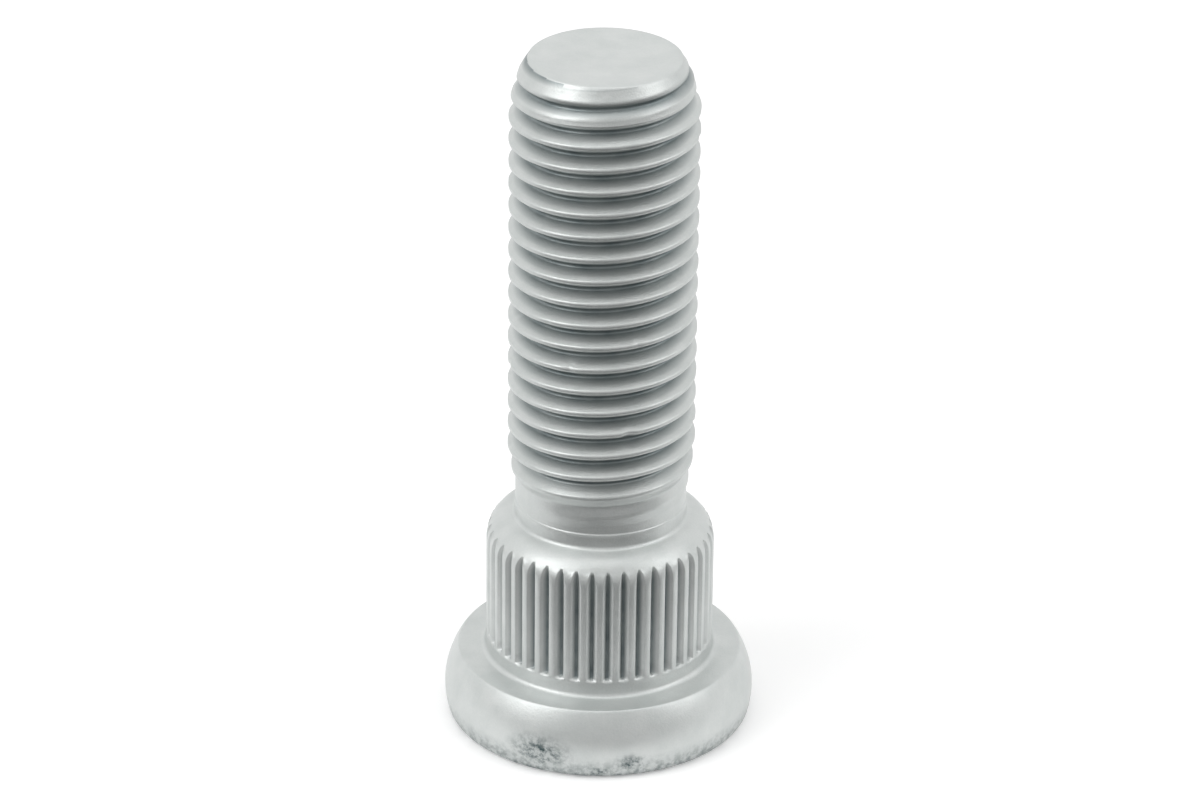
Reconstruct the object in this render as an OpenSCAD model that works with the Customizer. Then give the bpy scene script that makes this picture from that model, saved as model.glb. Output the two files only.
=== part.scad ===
// Wheel bolt for pressing into a hub: round head, serrated shank, plain neck, rolled thread.
// Millimetres. Z runs from the head's flat end (0) up the axis to the thread's tip.

/* [Head] */
// Widest diameter of the head
head_d = 19.9; // [19:0.1:22]
// Thickness of the head from its flat end to the seat
head_t = 4.6; // [4.2:0.1:5.6]
// Height of the widest line above the flat end
head_wide_z = 1.8; // [1.5:0.1:2.2]
// Radius of the barrel curve of the head's side
head_side_r = 4.9; // [4.6:0.1:7]
// Rounding between the side and the flat end
head_edge_r = 0.7; // [0.4:0.1:1]

/* [Serrated shank] */
// Diameter over the serration crests and at the top of the plain collar below them
knurl_d = 14.55; // [14.3:0.05:14.9]
// Diameter at the foot of the plain collar, which widens slightly towards the seat
collar_d = 14.65; // [14.6:0.05:15]
// Height of the plain collar above the seat
collar_h = 1.1; // [0.8:0.1:1.6]
// Hollow rounding between the collar and the seat
collar_fillet_r = 0.35; // [0.2:0.05:0.5]
// Height of the shank from the seat to the top of its shoulder
shank_h = 9.6; // [8:0.1:14]
// Rounding of the shoulder above the serrations
shoulder_r = 1.9; // [1.6:0.1:2.1]
// Number of serrations
tooth_count = 44; // [36:1:46]
// Width of a groove at the crest diameter
groove_w = 0.58; // [0.4:0.02:0.6]
// Width of a groove at its floor
groove_floor_w = 0.12; // [0.06:0.02:0.2]
// Depth of a groove below the crests
groove_depth = 0.45; // [0.3:0.05:0.5]
// Turn of the first groove about the axis, degrees
groove_turn = 4.3; // [0:0.1:8]

/* [Neck] */
// Diameter of the low step between the shoulder and the neck
step_d = 10.98; // [10.94:0.02:11.1]
// Height of the low step above the shoulder
step_h = 1.05; // [0.9:0.05:1.4]
// Hollow rounding between the low step and the shoulder
neck_fillet_r = 0.5; // [0.3:0.05:0.6]
// Diameter of the plain neck, which is the blank that the thread is rolled on
blank_d = 10.88; // [10.8:0.02:10.9]

/* [Thread] */
// Outer diameter of the thread
thread_d = 11.9; // [11.8:0.02:12]
// Rise of the thread in one turn, right-handed
thread_pitch = 1.5; // [1.25:0.25:1.75]
// Diameter at the thread's root
root_d = 10.12; // [10:0.02:10.3]
// Length of the thread's crest along the axis
crest_w = 0.24; // [0.18:0.02:0.3]
// Length of the thread's root along the axis
root_w = 0.2; // [0.14:0.02:0.26]
// Height of the first groove's beginning above the low step
groove_start_h = 1.96; // [1.94:0.02:3]
// Turn of the first groove's beginning about the axis, degrees
groove_start_turn = 275; // [260:1:290]
// Turns over which the first groove reaches its full depth
runout_turns = 0.9; // [0.5:0.1:1.5]
// Turns before the first groove at which the crests begin to rise from the neck
crest_lead_turns = 1.3; // [1:0.1:1.3]
// Turns over which the crests rise from the neck to the full diameter
crest_rise_turns = 2; // [1.6:0.1:2.4]

/* [Tip] */
// Height of the tip above the seat
tip_h = 40.9; // [30:0.1:45]
// Diameter of the tip's rim
tip_d = 9.52; // [9.2:0.02:9.7]
// Length of the steep chamfer behind the rim
chamfer_l = 0.95; // [0.8:0.05:1.1]
// Diameter at the back of the steep chamfer
chamfer_d = 10.7; // [10.6:0.02:10.8]
// Length of the slight taper behind the chamfer
taper_l = 2.1; // [1.5:0.1:3]
// Diameter of the shallow hollow in the tip's end
dish_d = 8.7; // [8:0.1:9]
// Depth of the shallow hollow
dish_depth = 0.24; // [0.1:0.02:0.26]

/* [Hidden] */

// Fineness of round faces
$fn = 96;

// Radii that follow from the diameters
head_r = head_d / 2;
knurl_r = knurl_d / 2;
collar_r = collar_d / 2;
step_r = step_d / 2;
blank_r = blank_d / 2;
thread_r = thread_d / 2;
root_r = root_d / 2;
tip_r = tip_d / 2;
chamfer_r = chamfer_d / 2;
dish_rim_r = dish_d / 2;

// Heights of the seat, the shoulder, the low step's top and the tip
seat_z = head_t;
collar_top_z = seat_z + collar_h;
shoulder_z = seat_z + shank_h;
step_top_z = shoulder_z + step_h;
tip_z = seat_z + tip_h;

// Middle of the barrel curve and of the rounding at the head's flat end
side_x = head_r - head_side_r;
edge_x = side_x + sqrt(pow(head_side_r - head_edge_r, 2) - pow(head_wide_z - head_edge_r, 2));
edge_turn = atan2(head_edge_r - head_wide_z, edge_x - side_x);
seat_r = side_x + sqrt(pow(head_side_r, 2) - pow(seat_z - head_wide_z, 2));
seat_turn = atan2(seat_z - head_wide_z, seat_r - side_x);

// Middle of the shoulder's rounding and of the hollow rounding above it
round_x = knurl_r - shoulder_r;
round_z = shoulder_z - shoulder_r;
hollow_x = step_r + neck_fillet_r;
hollow_z = round_z + sqrt(pow(shoulder_r + neck_fillet_r, 2) - pow(hollow_x - round_x, 2));
hollow_turn = atan2(hollow_z - round_z, hollow_x - round_x);

// Degrees between the points of a drawn curve
arc_step = 6;

// Points of a curve about a middle, from one angle to another; skip = 1 leaves out the first
function arc(x, z, r, from, to, skip = 0) = let (
    n = max(2, ceil(abs(to - from) / arc_step))
) [for (k = [skip : n]) [x + r * cos(from + (to - from) * k / n), z + r * sin(from + (to - from) * k / n)]];

// Half section of the head, the collar, the shank and the low step
function shank_section() = concat(
    [[0, 0]],
    arc(edge_x, head_edge_r, head_edge_r, -90, edge_turn),
    arc(side_x, head_wide_z, head_side_r, edge_turn, 0, skip = 1),
    arc(side_x, head_wide_z, head_side_r, 0, seat_turn, skip = 1),
    arc(collar_r + collar_fillet_r, seat_z + collar_fillet_r, collar_fillet_r, 270, 180),
    [[knurl_r, collar_top_z]],
    arc(round_x, round_z, shoulder_r, 0, hollow_turn),
    arc(hollow_x, hollow_z, neck_fillet_r, hollow_turn + 180, 180, skip = 1),
    [[step_r, step_top_z], [0, step_top_z]]
);

// Straight grooves between the serrations, open at the shoulder
module serration_grooves() {
    reach = 0.5;
    flare = (groove_w - groove_floor_w) / groove_depth * reach;
    translate([0, 0, collar_top_z])
        linear_extrude(height = shank_h)
            for (k = [0 : tooth_count - 1])
                rotate(groove_turn + k * 360 / tooth_count)
                    polygon([
                        [knurl_r - groove_depth, -groove_floor_w / 2],
                        [knurl_r + reach, -(groove_w + flare) / 2],
                        [knurl_r + reach, (groove_w + flare) / 2],
                        [knurl_r - groove_depth, groove_floor_w / 2]
                    ]);
}

// Head, collar, serrated shank, shoulder and low step
module shank() {
    color("silver")
        difference() {
            rotate_extrude() polygon(shank_section());
            serration_grooves();
        }
}

// Steps in one turn of the helix, and the gap that keeps the helix inside the faces it joins
turn_steps = 36;
join_gap = 0.03;

// The threaded body starts inside the low step and ends inside the tip, under its hollow
step_lap = 0.6;
tip_lap = 0.25;
dish_web = 0.12;
body_bottom_z = step_top_z - step_lap;
body_top_z = tip_z - dish_depth - dish_web;
chamfer_join_z = body_top_z - tip_lap;

// Height of the first groove's beginning, and the turns of helix below it
groove_start_z = step_top_z + groove_start_h;
turns_below = (groove_start_z - body_bottom_z) / thread_pitch + 1;
turns_above = (body_top_z + root_w - groove_start_z) / thread_pitch;
last_step = ceil((turns_below + turns_above) * turn_steps);
flank_h = (thread_pitch - crest_w - root_w) / 2;

// Turns from the first groove's beginning at a step of the helix
function turns_at(i) = i / turn_steps - turns_below;
function share(x) = min(1, max(0, x));
function eased(x) = let (k = share(x)) k * k * (3 - 2 * k);

// Radius of the root and of the crest at a step of the helix
function root_at(i) = blank_r - (blank_r - root_r) * eased(turns_at(i) / runout_turns);
function crest_at(i) = let (
    k = share((turns_at(i) + crest_lead_turns) / crest_rise_turns)
) blank_r + (thread_r - blank_r) * k;

// The chamfer and the slight taper as radius = a + b * z
chamfer_b = -(chamfer_r - tip_r) / chamfer_l;
chamfer_a = tip_r - join_gap - chamfer_b * tip_z;
taper_b = -(thread_r - chamfer_r) / taper_l;
taper_a = chamfer_r - taper_b * (tip_z - chamfer_l);
function limit_at(z) = min(chamfer_a + chamfer_b * z, taper_a + taper_b * z);

// Share of a flank that lies inside the chamfer; s is 1 on the way up and -1 on the way down
function flank_share(z, r, rise, s) = max(0.15, min(
    1,
    (chamfer_a + chamfer_b * z - r) / (rise - s * chamfer_b * flank_h),
    (taper_a + taper_b * z - r) / (rise - s * taper_b * flank_h)
));

// Point of the threaded body at a step, a radius and a height, held inside the chamfer
function thread_point(i, r, z) = let (
    held_z = min(body_top_z, max(body_bottom_z, z)),
    held_r = min(r, limit_at(held_z)),
    a = groove_start_turn + 360 * turns_at(i)
) [held_r * cos(a), held_r * sin(a), held_z];

// Four points at a step: both ends of the root and both ends of the crest above it
function step_points(i) = let (
    z = groove_start_z + thread_pitch * turns_at(i),
    low_r = root_at(i),
    high_r = root_at(i + turn_steps),
    low_z = z + root_w / 2,
    high_z = z + thread_pitch - root_w / 2,
    low_rise = crest_at(i) - low_r,
    high_rise = crest_at(i) - high_r,
    low_k = flank_share(low_z, low_r, low_rise, 1),
    high_k = flank_share(high_z, high_r, high_rise, -1)
) [
    thread_point(i, low_r, z - root_w / 2),
    thread_point(i, low_r, low_z),
    thread_point(i, low_r + low_k * low_rise, low_z + low_k * flank_h),
    thread_point(i, high_r + high_k * high_rise, high_z - high_k * flank_h)
];

// Threaded body: one skin wound from the neck to the tip, cut off by a ring at each end
module threaded_body() {
    n = turn_steps;
    rows = [for (i = [0 : last_step]) step_points(i)];
    bottom = 4 * len(rows);
    top = bottom + n;
    points = concat(
        [for (row = rows) each row],
        [for (i = [0 : n - 1]) thread_point(i, blank_r, body_bottom_z)],
        [for (i = [0 : n - 1]) thread_point(i, blank_r, body_top_z)]
    );
    // Points within the gap of an end are taken from its ring
    function is_low(i, j) = rows[i][j][2] < body_bottom_z + join_gap;
    function is_high(i, j) = i > last_step || rows[i][j][2] > body_top_z - join_gap;
    function at(i, j) =
        j == 4 ? at(i + n, 0)
        : is_high(i, j) ? top + i % n
        : is_low(i, j) ? bottom + i % n
        : 4 * i + j;
    function is_face(f) = f[0] != f[1] && f[1] != f[2] && f[2] != f[0];
    skin = [for (i = [0 : last_step - 1], j = [0 : 3]) each [
        [at(i, j), at(i, j + 1), at(i + 1, j + 1)],
        [at(i, j), at(i + 1, j + 1), at(i + 1, j)]
    ]];
    ends = [
        [for (i = [0 : n - 1]) bottom + i],
        [for (i = [n - 1 : -1 : 0]) top + i]
    ];
    color("lightsteelblue")
        polyhedron(points = points, faces = concat([for (f = skin) if (is_face(f)) f], ends), convexity = 10);
}

// Tip: the end of the steep chamfer with a shallow hollow in its flat
module tip() {
    join_r = tip_r - chamfer_b * (tip_z - chamfer_join_z);
    dish_r = (pow(dish_rim_r, 2) + pow(dish_depth, 2)) / (2 * dish_depth);
    color("gainsboro")
        difference() {
            translate([0, 0, chamfer_join_z])
                cylinder(h = tip_z - chamfer_join_z, r1 = join_r, r2 = tip_r);
            translate([0, 0, tip_z - dish_depth + dish_r])
                sphere(r = dish_r);
        }
}

module wheel_bolt() {
    union() {
        shank();
        threaded_body();
        tip();
    }
}

wheel_bolt();
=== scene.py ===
import math

import bpy
import numpy as np
from mathutils import Matrix, Vector


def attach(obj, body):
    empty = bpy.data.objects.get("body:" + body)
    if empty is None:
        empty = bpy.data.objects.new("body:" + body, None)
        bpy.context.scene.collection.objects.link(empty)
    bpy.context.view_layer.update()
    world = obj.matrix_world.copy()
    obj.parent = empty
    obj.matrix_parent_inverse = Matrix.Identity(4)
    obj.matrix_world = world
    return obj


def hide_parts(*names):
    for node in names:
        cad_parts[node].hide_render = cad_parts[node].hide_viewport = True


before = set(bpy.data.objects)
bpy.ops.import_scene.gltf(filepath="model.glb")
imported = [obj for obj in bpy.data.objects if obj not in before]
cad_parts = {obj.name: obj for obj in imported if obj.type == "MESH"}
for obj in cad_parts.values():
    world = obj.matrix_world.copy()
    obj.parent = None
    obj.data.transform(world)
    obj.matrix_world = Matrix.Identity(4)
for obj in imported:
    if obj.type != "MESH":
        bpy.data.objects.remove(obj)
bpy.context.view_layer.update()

mm = 0.001  # the sizes below are in millimetres, the scene is in metres
print("frame loaded")


# short hands for wiring a node tree
def wire(tree, value, socket):
    if isinstance(value, bpy.types.NodeSocket):
        tree.links.new(value, socket)
    else:
        socket.default_value = value


def addNode(tree, kind, values=None, **settings):
    node = tree.nodes.new(kind)
    for name, value in settings.items():
        setattr(node, name, value)
    for key, value in (values or {}).items():
        wire(tree, value, node.inputs[key])
    return node


def calc(tree, operation, *values):
    node = tree.nodes.new("ShaderNodeMath")
    node.operation = operation
    for k, value in enumerate(values):
        wire(tree, value, node.inputs[k])
    return node.outputs[0]


def remap(tree, value, fromLow, fromHigh, toLow, toHigh, style="LINEAR"):
    node = tree.nodes.new("ShaderNodeMapRange")
    node.interpolation_type = style
    for k, v in enumerate((value, fromLow, fromHigh, toLow, toHigh)):
        wire(tree, v, node.inputs[k])
    return node.outputs[0]


def newTree(name, inputs, outputs, kind="GeometryNodeTree"):
    tree = bpy.data.node_groups.new(name, kind)
    for side, sockets in (("INPUT", inputs), ("OUTPUT", outputs)):
        for label, (socketType, start) in sockets.items():
            socket = tree.interface.new_socket(label, in_out=side, socket_type=socketType)
            if start is not None:
                socket.default_value = start
    return tree, tree.nodes.new("NodeGroupInput").outputs, tree.nodes.new("NodeGroupOutput").inputs


def sizesAsInputs(sizes):
    return {
        label: ("NodeSocketInt" if isinstance(value, int) else "NodeSocketFloat", value)
        for label, value in sizes.items()
    }


def scaled(tree, vector, factor):
    return addNode(tree, "ShaderNodeVectorMath", {0: vector, "Scale": factor}, operation="SCALE").outputs[0]


meshSocket = {"Mesh": ("NodeSocketGeometry", None)}


def gridSkin(tree, columns, rows):
    # a flat grid whose share across and share along are bent into a skin afterwards
    grid = addNode(tree, "GeometryNodeMeshGrid", {
        "Size X": 1.0, "Size Y": 1.0,
        "Vertices X": calc(tree, "ADD", columns, 1), "Vertices Y": calc(tree, "ADD", rows, 1),
    })
    position = addNode(tree, "GeometryNodeInputPosition").outputs[0]
    place = addNode(tree, "ShaderNodeSeparateXYZ", {0: position})
    across, along = (calc(tree, "ADD", place.outputs[k], 0.5) for k in (0, 1))
    return grid.outputs["Mesh"], across, along


def bendSkin(tree, mesh, turn, radius, height):
    angle = calc(tree, "MULTIPLY", turn, math.tau)
    point = addNode(tree, "ShaderNodeCombineXYZ", {
        0: calc(tree, "MULTIPLY", radius, calc(tree, "COSINE", angle)),
        1: calc(tree, "MULTIPLY", radius, calc(tree, "SINE", angle)),
        2: height,
    })
    place = scaled(tree, point.outputs[0], mm)
    return addNode(tree, "GeometryNodeSetPosition", {"Geometry": mesh, "Position": place}).outputs[0]


def curveValue(tree, value, heights):
    node = addNode(tree, "ShaderNodeFloatCurve", {"Value": value})
    points = node.mapping.curves[0].points
    while len(points) < len(heights):
        points.new(0.5, 0.5)
    for k, height in enumerate(heights):
        points[k].location = (k / (len(heights) - 1), height)
        points[k].handle_type = "VECTOR"
    node.mapping.update()
    return node.outputs[0]


def storeValue(tree, mesh, name, value):
    values = {"Geometry": mesh, "Name": name, "Value": value}
    return addNode(tree, "GeometryNodeStoreNamedAttribute", values).outputs[0]


# the teeth and the columns that all rings share
teeth = {"count": 44, "firstTurn": 4.3, "columns": 6, "seamTurn": 275}
toothAngle = 360 / teeth["count"]
columnAngle = toothAngle / teeth["columns"]
ringStart = teeth["firstTurn"] - columnAngle / 2
seamAngle = ringStart + round((teeth["seamTurn"] - ringStart) / columnAngle) * columnAngle

threadSizes = {
    "Pitch": 1.5,
    "Outer Radius": 5.95,
    "Root Radius": 5.06,
    "Neck Radius": 5.44,
    "Crest Width": 0.24,
    "Root Width": 0.2,
    "Root Rounding": 0.12,
    "Crest Rounding": 0.05,
    "First Groove Height": 17.21,
    "First Groove Turn": 275 / 360,
    "Run-out Turns": 0.9,
    "Lead Turns": 1.3,
    "Rise Turns": 2.0,
    "Low End": 15.35,
    "High End": 45.44,
    "Low Snap": 0.03,
    "High Snap": 0.02,
    "Tip Height": 45.5,
    "Tip Radius": 4.76,
    "Chamfer Length": 0.95,
    "Chamfer Radius": 5.35,
    "Taper Length": 2.1,
    "Cut Rounding": 0.05,
    "Seam Turn": seamAngle / 360,
    "Columns": teeth["count"] * teeth["columns"],
    "Rows per Turn": 12,
    "Turns": 22,
    "Turns Below": 3,
}

# rows of one turn, as distances from the crest's middle
rowsFromCrest = [0.75, 0.68, 0.61, 0.38, 0.16, 0.115, 0]
pitch = threadSizes["Pitch"]
threadRows = [0.5 - d / pitch for d in rowsFromCrest] + [0.5 + d / pitch for d in rowsFromCrest[-2::-1]]


def rolledThreadTree():
    # one helical skin: a grid wound round the axis, its rows following the thread
    tree, given, made = newTree("rolledThread", sizesAsInputs(threadSizes), meshSocket)
    mesh, across, along = gridSkin(
        tree, given["Columns"], calc(tree, "MULTIPLY", given["Rows per Turn"], given["Turns"]))
    # a hair is added, so that a whole turn never rounds down
    even = calc(tree, "MULTIPLY_ADD", along, given["Turns"], 0.0001)
    whole = calc(tree, "FLOOR", even)
    # the curve puts a row on each corner of the thread's section
    phase = curveValue(tree, calc(tree, "SUBTRACT", even, whole), threadRows)
    turn = calc(tree, "ADD", whole, phase)
    shift = calc(tree, "SUBTRACT", given["Seam Turn"], given["First Groove Turn"])
    shift = calc(tree, "SUBTRACT", shift, given["Turns Below"])
    swept = calc(tree, "ADD", across, shift)
    rootTurn = calc(tree, "ADD", whole, swept)
    turns = calc(tree, "ADD", turn, swept)
    height = calc(tree, "MULTIPLY_ADD", turns, given["Pitch"], given["First Groove Height"])
    # the grooves fade out and the crests sink into the neck
    fade = (0, given["Run-out Turns"], given["Neck Radius"], given["Root Radius"], "SMOOTHSTEP")
    lowRoot = remap(tree, rootTurn, *fade)
    highRoot = remap(tree, calc(tree, "ADD", rootTurn, 1), *fade)
    upper = calc(tree, "GREATER_THAN", phase, 0.5)
    root = calc(tree, "MULTIPLY_ADD", calc(tree, "SUBTRACT", highRoot, lowRoot), upper, lowRoot)
    lead = calc(tree, "MULTIPLY", given["Lead Turns"], -1)
    risen = calc(tree, "ADD", lead, given["Rise Turns"])
    crest = remap(tree, rootTurn, lead, risen, given["Neck Radius"], given["Outer Radius"])
    # share of the way from root to crest, with both corners rounded
    half = calc(tree, "MULTIPLY", given["Pitch"], 0.5)
    fromCrest = calc(tree, "ABSOLUTE", calc(tree, "SUBTRACT", phase, 0.5))
    fromCrest = calc(tree, "MULTIPLY", fromCrest, given["Pitch"])
    flankEnd = calc(tree, "MULTIPLY_ADD", given["Root Width"], -0.5, half)
    flank = calc(tree, "MULTIPLY_ADD", given["Crest Width"], -0.5, flankEnd)
    share = calc(tree, "DIVIDE", calc(tree, "SUBTRACT", flankEnd, fromCrest), flank)
    share = calc(tree, "SMOOTH_MAX", share, 0, given["Root Rounding"])
    share = calc(tree, "SMOOTH_MIN", share, 1, given["Crest Rounding"])
    rise = calc(tree, "SUBTRACT", crest, root)
    radius = calc(tree, "MULTIPLY_ADD", share, rise, root)
    # the chamfer and the slight taper behind it cut the first crests off
    below = calc(tree, "SUBTRACT", given["Tip Height"], height)
    steep = calc(tree, "SUBTRACT", given["Chamfer Radius"], given["Tip Radius"])
    steep = calc(tree, "DIVIDE", steep, given["Chamfer Length"])
    chamfer = calc(tree, "MULTIPLY_ADD", below, steep, given["Tip Radius"])
    gentle = calc(tree, "SUBTRACT", given["Outer Radius"], given["Chamfer Radius"])
    gentle = calc(tree, "DIVIDE", gentle, given["Taper Length"])
    belowChamfer = calc(tree, "SUBTRACT", below, given["Chamfer Length"])
    taper = calc(tree, "MULTIPLY_ADD", belowChamfer, gentle, given["Chamfer Radius"])
    limit = calc(tree, "MINIMUM", chamfer, taper)
    radius = calc(tree, "SMOOTH_MIN", radius, limit, given["Cut Rounding"])
    # both ends are cut off by a level ring
    low = calc(tree, "LESS_THAN", height, calc(tree, "ADD", given["Low End"], given["Low Snap"]))
    highStart = calc(tree, "SUBTRACT", given["High End"], given["High Snap"])
    high = calc(tree, "GREATER_THAN", height, highStart)
    highBelow = calc(tree, "SUBTRACT", given["Tip Height"], given["High End"])
    highRadius = calc(tree, "MULTIPLY_ADD", highBelow, steep, given["Tip Radius"])
    lowRing = (low, given["Low End"], given["Neck Radius"])
    highRing = (high, given["High End"], highRadius)
    for mask, endHeight, endRadius in (lowRing, highRing):
        height = calc(tree, "MULTIPLY_ADD", mask, calc(tree, "SUBTRACT", endHeight, height), height)
        radius = calc(tree, "MULTIPLY_ADD", mask, calc(tree, "SUBTRACT", endRadius, radius), radius)
    full = calc(tree, "SUBTRACT", given["Outer Radius"], given["Root Radius"])
    inside = calc(tree, "SUBTRACT", 1, calc(tree, "MAXIMUM", low, high))
    depth = calc(tree, "DIVIDE", rise, full)
    # the crest share, and the root share that the coat darkens as painted shade
    for name, part in (("crest", share), ("hollow", calc(tree, "SUBTRACT", 1, share))):
        value = calc(tree, "MULTIPLY", calc(tree, "MULTIPLY", part, depth), inside)
        mesh = storeValue(tree, mesh, name, value)
    mesh = bendSkin(tree, mesh, calc(tree, "ADD", across, given["Seam Turn"]), radius, height)
    wire(tree, mesh, made[0])
    return tree


# the tip starts on the chamfer, where the thread's last ring ends
chamferSlope = (threadSizes["Chamfer Radius"] - threadSizes["Tip Radius"]) / threadSizes["Chamfer Length"]
tipSizes = {
    "Columns": threadSizes["Columns"],
    "Rings": 16,
    "Ring Spread": 1.7,
    "Seam Turn": threadSizes["Seam Turn"],
    "Height": threadSizes["Tip Height"],
    "Edge Height": threadSizes["High End"],
    "Edge Radius": threadSizes["Tip Radius"]
    + (threadSizes["Tip Height"] - threadSizes["High End"]) * chamferSlope,
    "Edge Round": 0.11,
    "Dish Radius": 4.35,
    "Dish Depth": 0.24,
    "Dish Rounding": 0.12,
}


def dishedTipTree():
    tree, given, made = newTree("dishedTip", sizesAsInputs(tipSizes), meshSocket)
    mesh, across, along = gridSkin(tree, given["Columns"], given["Rings"])
    inward = calc(tree, "POWER", along, given["Ring Spread"])
    radius = calc(tree, "MULTIPLY", given["Edge Radius"], calc(tree, "SUBTRACT", 1, inward))
    flatEdge = calc(tree, "SUBTRACT", given["Edge Radius"], given["Edge Round"])
    out = remap(tree, radius, flatEdge, given["Edge Radius"], 0, 1)
    fall = calc(tree, "SUBTRACT", given["Height"], given["Edge Height"])
    drop = calc(tree, "MULTIPLY", calc(tree, "MULTIPLY", out, out), fall)
    share = calc(tree, "DIVIDE", radius, given["Dish Radius"])
    bowl = calc(tree, "SUBTRACT", 1, calc(tree, "MULTIPLY", share, share))
    bowl = calc(tree, "SMOOTH_MAX", bowl, 0, given["Dish Rounding"])
    drop = calc(tree, "MULTIPLY_ADD", bowl, given["Dish Depth"], drop)
    height = calc(tree, "SUBTRACT", given["Height"], drop)
    mesh = bendSkin(tree, mesh, calc(tree, "ADD", across, given["Seam Turn"]), radius, height)
    wire(tree, mesh, made[0])
    return tree


shankSizes = {
    "neckRadius": 5.44, "neckEnd": 15.35, "stepRadius": 5.49, "stepTop": 15.25,
    "hollow": 0.3, "shoulderRound": 1.9, "shoulderTop": 14.2,
    "crestRadius": 7.275, "crestRound": 0.035, "crestEdge": 0.6, "lip": 0.05,
    "grooveDepth": 0.45, "grooveWidth": 0.58, "grooveFloor": 0.12, "grooveTop": 13.36, "grooveRun": 0.4,
    "leastDepth": 0.002, "leastEdge": 0.05,
    "evenAbove": 12, "evenRadius": 6, "evenBelow": 5.9,
    "collarTop": 5.7, "collarRadius": 7.325, "collarHollow": 0.35,
    "seat": 4.6, "headRadius": 9.95, "headWide": 1.8, "sideRound": 4.9, "edgeRound": 0.7,
}


def arcPoint(x, z, r, a):
    return x + r * math.cos(math.radians(a)), z + r * math.sin(math.radians(a))


def arcPoints(x, z, r, start, end, steps):
    return [arcPoint(x, z, r, a) for a in np.linspace(start, end, steps + 1)]


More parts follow.
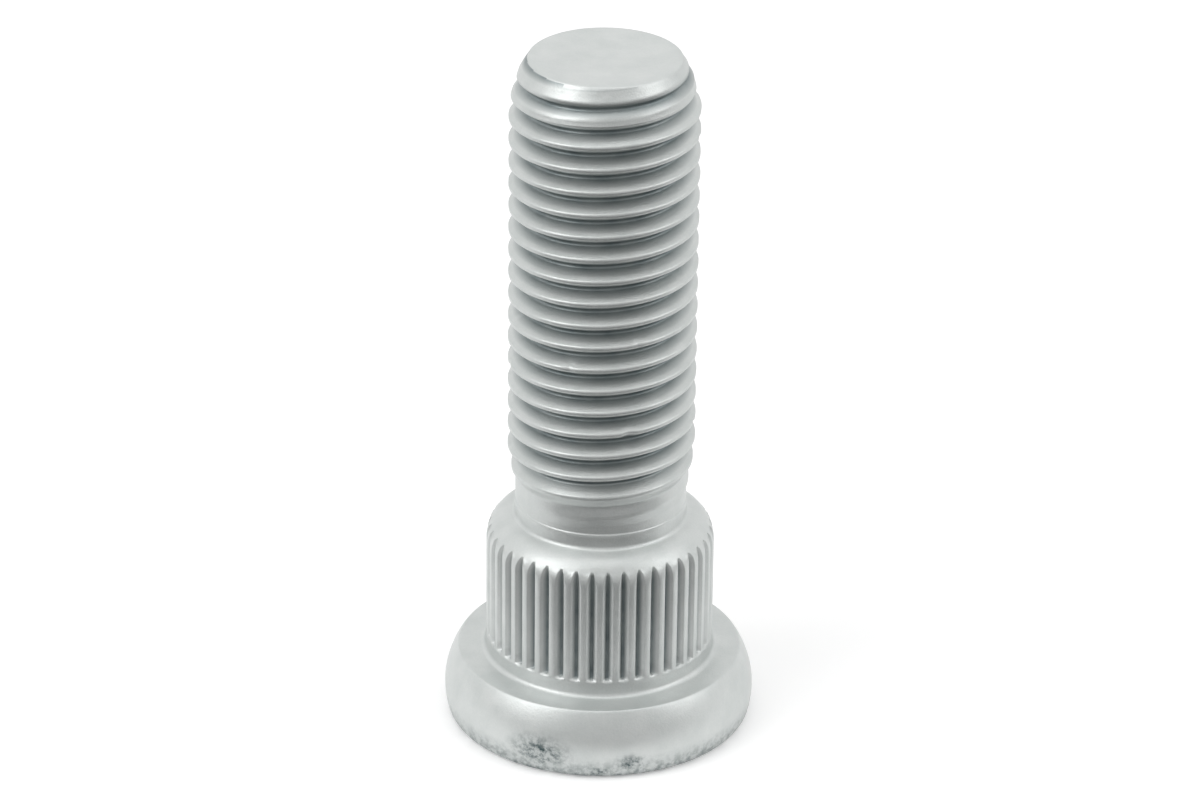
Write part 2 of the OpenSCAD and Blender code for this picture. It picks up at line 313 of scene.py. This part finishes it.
def toothSector():
    # one tooth's share of the shank and head, from the neck down to the middle of the flat end
    s = shankSizes
    floorRadius = s["crestRadius"] - s["grooveDepth"]
    roundX, roundZ = s["crestRadius"] - s["shoulderRound"], s["shoulderTop"] - s["shoulderRound"]
    hollowX = s["stepRadius"] + s["hollow"]
    hollowZ = roundZ + math.sqrt((s["shoulderRound"] + s["hollow"]) ** 2 - (hollowX - roundX) ** 2)
    meet = math.degrees(math.atan2(hollowZ - roundZ, hollowX - roundX))
    sideX = s["headRadius"] - s["sideRound"]
    edgeReach, edgeDrop = s["sideRound"] - s["edgeRound"], s["headWide"] - s["edgeRound"]
    edgeX = sideX + math.sqrt(edgeReach ** 2 - edgeDrop ** 2)
    edgeTurn = math.degrees(math.atan2(-edgeDrop, edgeX - sideX))
    # each row is a ring: radius, height, and how far the grooves are cut there
    rows = [
        (s["neckRadius"], s["neckEnd"], 0),
        (s["neckRadius"], s["stepTop"] + 0.03, 0),
        (s["stepRadius"] - 0.015, s["stepTop"], 0),
        (s["stepRadius"], s["stepTop"] - 0.03, 0),
        (s["stepRadius"], s["stepTop"] - 0.3, 0),
    ]
    rows += [(r, z, 0) for r, z in arcPoints(hollowX, hollowZ, s["hollow"], 180, 180 + meet, 6)[:-1]]
    turns = [*np.linspace(meet, 36, 8), *np.linspace(34, 14, 12), 9, 4, 0]
    rows += [(*arcPoint(roundX, roundZ, s["shoulderRound"], a), 1) for a in turns]
    rows += [(s["crestRadius"], z, 1) for z in np.linspace(roundZ, s["collarTop"] + 0.08, 11)[1:]]
    rows += [
        (s["crestRadius"] + 0.005, s["collarTop"] + 0.01, 0.45),
        (s["crestRadius"] + 0.03, s["collarTop"] - 0.07, 0),
        (s["crestRadius"] + 0.015, s["collarTop"] - 0.16, 0),
        (s["collarRadius"] - 0.015, s["collarTop"] - 0.45, 0),
    ]
    collarX, collarZ = s["collarRadius"] + s["collarHollow"], s["seat"] + s["collarHollow"]
    rows += [(r, z, 0) for r, z in arcPoints(collarX, collarZ, s["collarHollow"], 180, 270, 6)]
    rows += [(r, s["seat"], 0) for r in (7.95, 8.3, 8.65, 8.9, 9.01)]
    rows += [(9.055, s["seat"] - 0.012, 0), (9.092, s["seat"] - 0.042, 0)]
    rows += [(r, z, 0) for r, z in arcPoints(sideX, s["headWide"], s["sideRound"], 33.2, edgeTurn, 24)]
    rows += [(r, z, 0) for r, z in arcPoints(edgeX, s["edgeRound"], s["edgeRound"], edgeTurn, -90, 6)[1:]]
    rows += [(r, 0, 0) for r in (8.7, 7.9, 6.6, 5.0, 3.2, 1.5)]

    points, hollow, faces = [], [], []
    columns = teeth["columns"] + 1
    even = [columnAngle * (k - 0.5) for k in range(columns)]
    for r, z, cut in rows:
        # the grooves end steeply a little way up the shoulder
        run = min(1, max(0, (s["grooveTop"] - z) / s["grooveRun"]))
        bottom = max(floorRadius, r - s["grooveDepth"] * run)
        cutting = cut > 0 and r > bottom + s["leastDepth"]
        # the columns are even on the neck and head, and follow the grooves between them
        mix = 0
        if z > s["evenAbove"] and r > s["evenRadius"]:
            mix = min(1, (r - s["evenRadius"]) / (floorRadius - s["evenRadius"]))
        elif z < s["evenBelow"]:
            mix = max(0, min(1, (z - s["seat"]) / (s["collarTop"] - s["seat"])))
        elif z <= s["evenAbove"]:
            mix = 1
        halfFloor = math.degrees(s["grooveFloor"] / 2 / floorRadius)
        opened = min(1, max(0, (r - bottom) / s["grooveDepth"]))
        width = s["grooveFloor"] + (s["grooveWidth"] - s["grooveFloor"]) * opened
        halfEdge = max(math.degrees(width / 2 / max(r, 1)), halfFloor + s["leastEdge"])
        inCrest = halfEdge + s["crestEdge"]
        toothed = [-halfFloor, halfFloor, halfEdge, inCrest]
        toothed += [toothAngle - inCrest, toothAngle - halfEdge, toothAngle - halfFloor]
        lip = s["lip"] * math.sin(math.pi * opened) if z > roundZ else 0
        for k in range(columns):
            angle = math.radians(teeth["firstTurn"] + even[k] * (1 - mix) + toothed[k] * mix)
            radius = r
            if cutting and k in (0, 1, 6):
                radius = r - (r - bottom) * cut
            elif cutting and k in (2, 5):
                radius = r - s["crestRound"] * cut * opened + lip
            points.append((radius * math.cos(angle) * mm, radius * math.sin(angle) * mm, z * mm))
            # how deep the groove is here, which the coat darkens as painted shade
            hollow.append(max(0, r - radius) / s["grooveDepth"])
    for i in range(len(rows) - 1):
        for k in range(columns - 1):
            a = i * columns + k
            faces.append((a, a + columns, a + columns + 1, a + 1))
    points.append((0, 0, 0))
    hollow.append(0)
    last = (len(rows) - 1) * columns
    faces += [(last + k, len(points) - 1, last + k + 1) for k in range(columns - 1)]
    mesh = bpy.data.meshes.new("toothSector")
    mesh.from_pydata(points, [], faces)
    mesh.attributes.new("hollow", "FLOAT", "POINT").data.foreach_set("value", hollow)
    return mesh


boltSkin = {
    "Tooth Count": teeth["count"],
    "Merge Distance": 0.003 * mm,
    "Crest Wear": 0.03,
    "Crest Wear Size": 1.1,
    "Forged Roughness": 0.02,
    "Forged Size": 0.9,
    "Head Top": 4.3,
    "Head Top Fade": 0.6,
    "Head Foot Fade": 0.4,
    "Seed": 7,
}


def wheelBoltTree(material):
    inputs = {"Sector": ("NodeSocketGeometry", None)}
    inputs.update(sizesAsInputs(boltSkin))
    inputs["Finish"] = ("NodeSocketMaterial", None)
    tree, given, made = newTree("wheelBoltSkin", inputs, meshSocket)
    thread = addNode(tree, "GeometryNodeGroup", node_tree=rolledThreadTree())
    tip = addNode(tree, "GeometryNodeGroup", node_tree=dishedTipTree())
    # the shank and head: one tooth's sector stands round the axis
    points = addNode(tree, "GeometryNodePoints", {"Count": given["Tooth Count"]})
    step = calc(tree, "DIVIDE", math.tau, given["Tooth Count"])
    angle = calc(tree, "MULTIPLY", addNode(tree, "GeometryNodeInputIndex").outputs[0], step)
    turned = addNode(tree, "ShaderNodeCombineXYZ", {2: angle})
    placed = addNode(tree, "GeometryNodeInstanceOnPoints", {
        "Points": points.outputs[0], "Instance": given["Sector"], "Rotation": turned.outputs[0]})
    shank = addNode(tree, "GeometryNodeRealizeInstances", {0: placed.outputs[0]})
    joined = addNode(tree, "GeometryNodeJoinGeometry")
    for part in (thread, tip, shank):
        tree.links.new(part.outputs[0], joined.inputs[0])
    merged = addNode(tree, "GeometryNodeMergeByDistance", {
        "Geometry": joined.outputs[0], "Distance": given["Merge Distance"]})
    # uneven crests, and the rough forged side of the head
    position = addNode(tree, "GeometryNodeInputPosition").outputs[0]
    height = calc(tree, "DIVIDE", addNode(tree, "ShaderNodeSeparateXYZ", {0: position}).outputs[2], mm)
    outward = addNode(tree, "ShaderNodeVectorMath", {0: position, 1: (1, 1, 0)}, operation="MULTIPLY")
    outward = addNode(tree, "ShaderNodeVectorMath", {0: outward.outputs[0]}, operation="NORMALIZE").outputs[0]
    crest = addNode(tree, "GeometryNodeInputNamedAttribute", {"Name": "crest"}, data_type="FLOAT")
    onCrest = remap(tree, crest.outputs[0], 0.7, 1, 0, 1)
    fullHead = calc(tree, "SUBTRACT", given["Head Top"], given["Head Top Fade"])
    onHead = remap(tree, height, given["Head Top"], fullHead, 0, 1)
    onHead = calc(tree, "MULTIPLY", onHead, remap(tree, height, 0, given["Head Foot Fade"], 0, 1))
    wear = (onCrest, "Crest Wear", "Crest Wear Size")
    forging = (onHead, "Forged Roughness", "Forged Size")
    move = None
    for mask, amount, size in (wear, forging):
        noise = addNode(tree, "ShaderNodeTexNoise", {
            "Vector": position, "W": given["Seed"], "Detail": 3.0, "Roughness": 0.6,
            "Scale": calc(tree, "DIVIDE", 1 / mm, given[size])}, noise_dimensions="4D")
        inward = remap(tree, noise.outputs[0], 0.3, 0.75, 0, -1)
        part = calc(tree, "MULTIPLY", calc(tree, "MULTIPLY", inward, mask), given[amount])
        move = part if move is None else calc(tree, "ADD", move, part)
    offset = scaled(tree, outward, calc(tree, "MULTIPLY", move, mm))
    moved = addNode(tree, "GeometryNodeSetPosition", {"Geometry": merged.outputs[0], "Offset": offset})
    smooth = addNode(tree, "GeometryNodeSetShadeSmooth", {"Geometry": moved.outputs[0]})
    solid = addNode(tree, "GeometryNodeRealizeInstances", {0: smooth.outputs[0]})
    painted = addNode(tree, "GeometryNodeSetMaterial", {
        "Geometry": solid.outputs[0], "Material": given["Finish"]})
    wire(tree, painted.outputs[0], made[0])
    return tree


# the coat: matte zinc with a fine grain, with painted shade in the hollows, and dark smudges and painted
# shade on the head's foot
coat = {
    "color": (0.58, 0.61, 0.60, 1),
    "paleColor": (0.68, 0.70, 0.69, 1),
    # painted shade for the thread roots and the grooves between the teeth
    "hollowShadeColor": (0.10, 0.14, 0.15, 1),
    # dark smudges, and painted shade round the head's foot
    "smudgeAndShadeColor": (0.05, 0.08, 0.085, 1),
    "metallic": 0.7,
    "roughness": 0.42,
    # how far the painted shade darkens the hollows
    "hollowShadeShare": 0.85,
    # grain: how fine it is, and how far it moves the colour, roughness and surface
    "grain": 8.0,
    "grainColor": 1.2,
    "grainRoughness": 0.3,
    "grainBump": 0.8,
    "grainHeight": 0.02,
    "cloud": 0.6,
    # noise size that breaks up the smudges and the painted shade on the head's foot
    "smudgeAndShadeNoise": 2.2,
}


def attributeValue(tree, name):
    return addNode(tree, "ShaderNodeAttribute", attribute_name=name).outputs["Fac"]


def blend(tree, share, first, second):
    node = addNode(tree, "ShaderNodeMix", data_type="RGBA")
    for socket, value in ((node.inputs[0], share), (node.inputs[6], first), (node.inputs[7], second)):
        wire(tree, value, socket)
    return node.outputs[2]


def coatMaterial():
    material = bpy.data.materials.new("zincCoat")
    material.use_nodes = True
    tree = material.node_tree
    shader = tree.nodes["Principled BSDF"]
    place = addNode(tree, "ShaderNodeTexCoord").outputs["Object"]
    inMm = scaled(tree, place, 1 / mm)

    def noise(scale, detail=2.0, roughness=0.5):
        return addNode(tree, "ShaderNodeTexNoise", {
            "Vector": inMm, "Scale": scale, "Detail": detail, "Roughness": roughness}).outputs[0]

    grain = noise(coat["grain"], 3.0, 0.65)
    cloud = noise(coat["cloud"], 3.0, 0.55)
    hollow = attributeValue(tree, "hollow")
    smudgeAndShade = attributeValue(tree, "smudgeAndShade")
    # painted shade: the thread roots and the grooves darken the colour
    paintedHollowShade = remap(tree, hollow, 0.3, 1, 0, coat["hollowShadeShare"])
    paintedHollowShade = calc(tree, "MULTIPLY", paintedHollowShade, remap(tree, cloud, 0.3, 0.7, 0.7, 1))
    # smudges and painted shade on the head's foot, broken up by noise
    patchy = remap(tree, noise(coat["smudgeAndShadeNoise"], 4.0, 0.7), 0.42, 0.62, 0.25, 1)
    smudgeAndShadeShare = calc(tree, "MULTIPLY", smudgeAndShade, patchy)
    uneven = calc(tree, "SUBTRACT", grain, 0.5)
    pale = remap(tree, cloud, 0.3, 0.7, 0.2, 0.8)
    speck = calc(tree, "MULTIPLY_ADD", uneven, coat["grainColor"], pale)
    color = blend(tree, speck, coat["color"], coat["paleColor"])
    color = blend(tree, paintedHollowShade, color, coat["hollowShadeColor"])
    color = blend(tree, smudgeAndShadeShare, color, coat["smudgeAndShadeColor"])
    roughness = calc(tree, "MULTIPLY_ADD", uneven, coat["grainRoughness"], coat["roughness"])
    wire(tree, color, shader.inputs["Base Color"])
    wire(tree, roughness, shader.inputs["Roughness"])
    shader.inputs["Metallic"].default_value = coat["metallic"]
    bump = addNode(tree, "ShaderNodeBump", {
        "Strength": coat["grainBump"], "Distance": coat["grainHeight"] * mm, "Height": grain})
    wire(tree, bump.outputs[0], shader.inputs["Normal"])
    return material


# marks of use, dark smudges and painted shade; a turn is in degrees to the right of the front
marks = {
    "nicks": [
        # height, turn, width, depth
        (22.3, 17, 0.55, 0.22), (32.2, 58, 0.4, 0.15), (33.5, 30, 0.35, 0.12), (27.0, -20, 0.45, 0.14),
        (28.6, -75, 0.4, 0.15), (28.6, 22, 0.3, 0.1),
    ],
    "scattered": 30,
    "scatteredRanges": [(19, 43), (75, 285), (0.25, 0.5), (0.06, 0.18)],
    "seed": 11,
    "patches": [
        # dark patches, partly smudges and partly painted shade: height, turn, width, height of the dark patch
        (0.6, 0, 1.1, 0.5), (1.6, -22, 2.0, 1.2), (1.2, 12, 1.0, 0.6),
    ],
    # painted shade round the head's foot, darker towards the bottom
    "paintedShadeBand": 1.7,
    "paintedShadeDepth": 0.9,
    "headInside": 9,
}


def unevenMesh(mesh):
    co = np.zeros(len(mesh.vertices) * 3)
    mesh.vertices.foreach_get("co", co)
    co = co.reshape(-1, 3) / mm
    radius = np.hypot(co[:, 0], co[:, 1])
    turn = np.degrees(np.arctan2(co[:, 0], -co[:, 1]))
    smudgeAndShade = np.zeros(len(co))
    draw = np.random.default_rng(marks["seed"])
    nicks = list(marks["nicks"])
    for _ in range(marks["scattered"]):
        nicks.append(tuple(draw.uniform(*span) for span in marks["scatteredRanges"]))
    crest = np.zeros(len(co))
    mesh.attributes["crest"].data.foreach_get("value", crest)
    for height, angle, width, depth in nicks:
        around = (turn - angle + 180) % 360 - 180
        span = np.hypot(np.radians(around) * radius, co[:, 2] - height) / width
        dip = np.clip(1 - span, 0, 1) * depth * (crest > 0.3)
        shrink = (radius - dip) / np.maximum(radius, 1e-6)
        co[:, 0] *= shrink
        co[:, 1] *= shrink
    mesh.vertices.foreach_set("co", (co * mm).ravel())
    onSide = radius > marks["headInside"]
    # dark patches on the head's side, partly smudges and partly painted shade
    for height, angle, wide, tall in marks["patches"]:
        around = (turn - angle + 180) % 360 - 180
        near = np.hypot(np.radians(around) * radius / wide, (co[:, 2] - height) / tall)
        smudgeAndShade = np.maximum(smudgeAndShade, np.clip(1.3 - near, 0, 1) * onSide)
    # painted shade, darker towards the head's foot
    paintedShadeBand = np.clip((marks["paintedShadeBand"] - co[:, 2]) / marks["paintedShadeBand"], 0, 1) * onSide
    smudgeAndShade = np.maximum(smudgeAndShade, paintedShadeBand * marks["paintedShadeDepth"])
    mesh.attributes.new("smudgeAndShade", "FLOAT", "POINT").data.foreach_set("value", smudgeAndShade)
    mesh.update()


finish = coatMaterial()
bolt = bpy.data.objects.new("wheelBolt", toothSector())
bpy.context.scene.collection.objects.link(bolt)
boltTree = wheelBoltTree(finish)
modifier = bolt.modifiers.new("skin", "NODES")
modifier.node_group = boltTree
sockets = {item.name: item.identifier for item in boltTree.interface.items_tree if item.in_out == "INPUT"}
for label, value in boltSkin.items():
    modifier[sockets[label]] = value
modifier[sockets["Finish"]] = finish
evaluated = bolt.evaluated_get(bpy.context.evaluated_depsgraph_get())
plain = bpy.data.meshes.new_from_object(evaluated)
bolt.modifiers.clear()
bolt.data = plain
plain.name = "wheelBolt"
unevenMesh(plain)
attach(bolt, "root")
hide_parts("wheel_bolt")
plain.calc_loop_triangles()
print("bolt:", len(plain.vertices), "vertices,", len(plain.loop_triangles), "triangles")


# plain pale studio
studio = {
    "floorColor": (0.9, 0.9, 0.9, 1),
    "floorSize": 3.0,
    "floorFront": 0.017,
    "floorGlow": 0.25,
    "ambient": 0.6,
    "below": 0.12,
    "lampAim": 0.025,
    "lamps": [
        # turn to the right of the front, height angle, distance, width, height, power
        (-60, 38, 0.45, 0.28, 0.36, 0.75),
        (74, 34, 0.45, 0.22, 0.34, 0.40),
        (10, 85, 0.5, 0.35, 0.35, 0.35),
    ],
}


def buildFloor():
    mesh = bpy.data.meshes.new("floor")
    half = studio["floorSize"] / 2
    front = -studio["floorFront"]
    corners = [(-half, front, 0), (half, front, 0), (half, half, 0), (-half, half, 0)]
    mesh.from_pydata(corners, [], [(0, 1, 2, 3)])
    floor = bpy.data.objects.new("floor", mesh)
    bpy.context.scene.collection.objects.link(floor)
    material = bpy.data.materials.new("paleFloor")
    material.use_nodes = True
    tree = material.node_tree
    shader = tree.nodes["Principled BSDF"]
    shader.inputs["Base Color"].default_value = studio["floorColor"]
    shader.inputs["Roughness"].default_value = 0.9
    path = addNode(tree, "ShaderNodeLightPath")
    seen = calc(tree, "MAXIMUM", path.outputs["Is Camera Ray"], path.outputs["Is Glossy Ray"])
    seen = calc(tree, "MAXIMUM", seen, path.outputs["Is Transmission Ray"])
    strength = calc(tree, "MULTIPLY", seen, studio["floorGlow"])
    glow = addNode(tree, "ShaderNodeEmission", {"Color": (1, 1, 1, 1), "Strength": strength})
    both = addNode(tree, "ShaderNodeAddShader", {0: shader.outputs[0], 1: glow.outputs[0]})
    tree.links.new(both.outputs[0], tree.nodes["Material Output"].inputs[0])
    mesh.materials.append(material)


def buildWorld():
    world = bpy.data.worlds.new("studio")
    bpy.context.scene.world = world
    world.use_nodes = True
    tree = world.node_tree
    path = addNode(tree, "ShaderNodeLightPath")
    seen = calc(tree, "MAXIMUM", path.outputs["Is Camera Ray"], path.outputs["Is Transmission Ray"])
    # metal sees the white background behind the object, and softer light from the other sides
    direction = addNode(tree, "ShaderNodeTexCoord").outputs["Generated"]
    place = addNode(tree, "ShaderNodeSeparateXYZ", {0: direction})
    back = remap(tree, place.outputs[1], -0.2, 0.5, 0, 1, "SMOOTHSTEP")
    seen = calc(tree, "MAXIMUM", seen, calc(tree, "MULTIPLY", path.outputs["Is Glossy Ray"], back))
    level = remap(tree, place.outputs[2], -0.3, 0.1, studio["below"], studio["ambient"], "SMOOTHSTEP")
    strength = remap(tree, seen, 0, 1, level, 1.0)
    background = tree.nodes["Background"]
    background.inputs["Color"].default_value = (1, 1, 1, 1)
    wire(tree, strength, background.inputs["Strength"])


def buildLamps():
    target = Vector((0, 0, studio["lampAim"]))
    for number, (turn, rise, distance, width, tall, power) in enumerate(studio["lamps"]):
        lamp = bpy.data.lights.new(f"softbox{number}", "AREA")
        lamp.shape = "RECTANGLE"
        lamp.size, lamp.size_y = width, tall
        lamp.energy = power
        holder = bpy.data.objects.new(lamp.name, lamp)
        bpy.context.scene.collection.objects.link(holder)
        a, e = math.radians(turn), math.radians(rise)
        away = Vector((math.sin(a) * math.cos(e), -math.cos(a) * math.cos(e), math.sin(e)))
        holder.location = target + away * distance
        holder.rotation_euler = (target - holder.location).to_track_quat("-Z", "Y").to_euler()


# the photograph's view: lengths in millimetres, angles in degrees
view = {
    "lens": 161.476,
    "aim": 22.041,
    "distance": 339.965,
    "elevation": 26.525,
    "roll": 0.6197,
    "aside": 0.4608,
    "shift": (0.00464, -0.00017),
}


def buildCamera():
    camera = bpy.data.objects.new("camera", bpy.data.cameras.new("camera"))
    bpy.context.scene.collection.objects.link(camera)
    camera.data.sensor_width = 36
    camera.data.lens = view["lens"]
    camera.data.shift_x, camera.data.shift_y = view["shift"]
    camera.data.clip_start, camera.data.clip_end = 0.01, 20
    e, roll = math.radians(view["elevation"]), math.radians(view["roll"])
    forward = Vector((0, math.cos(e), -math.sin(e)))
    right = Vector((1, 0, 0))
    up = right.cross(forward)
    side = right * math.cos(roll) + up * math.sin(roll)
    top = up * math.cos(roll) - right * math.sin(roll)
    place = Vector((0, 0, view["aim"])) - forward * view["distance"] - side * view["aside"]
    camera.matrix_world = Matrix((side, top, -forward)).transposed().to_4x4()
    camera.location = place * mm
    bpy.context.scene.camera = camera


buildFloor()
buildWorld()
buildLamps()
buildCamera()
bpy.context.scene.view_settings.view_transform = "Standard"
print("studio ready")
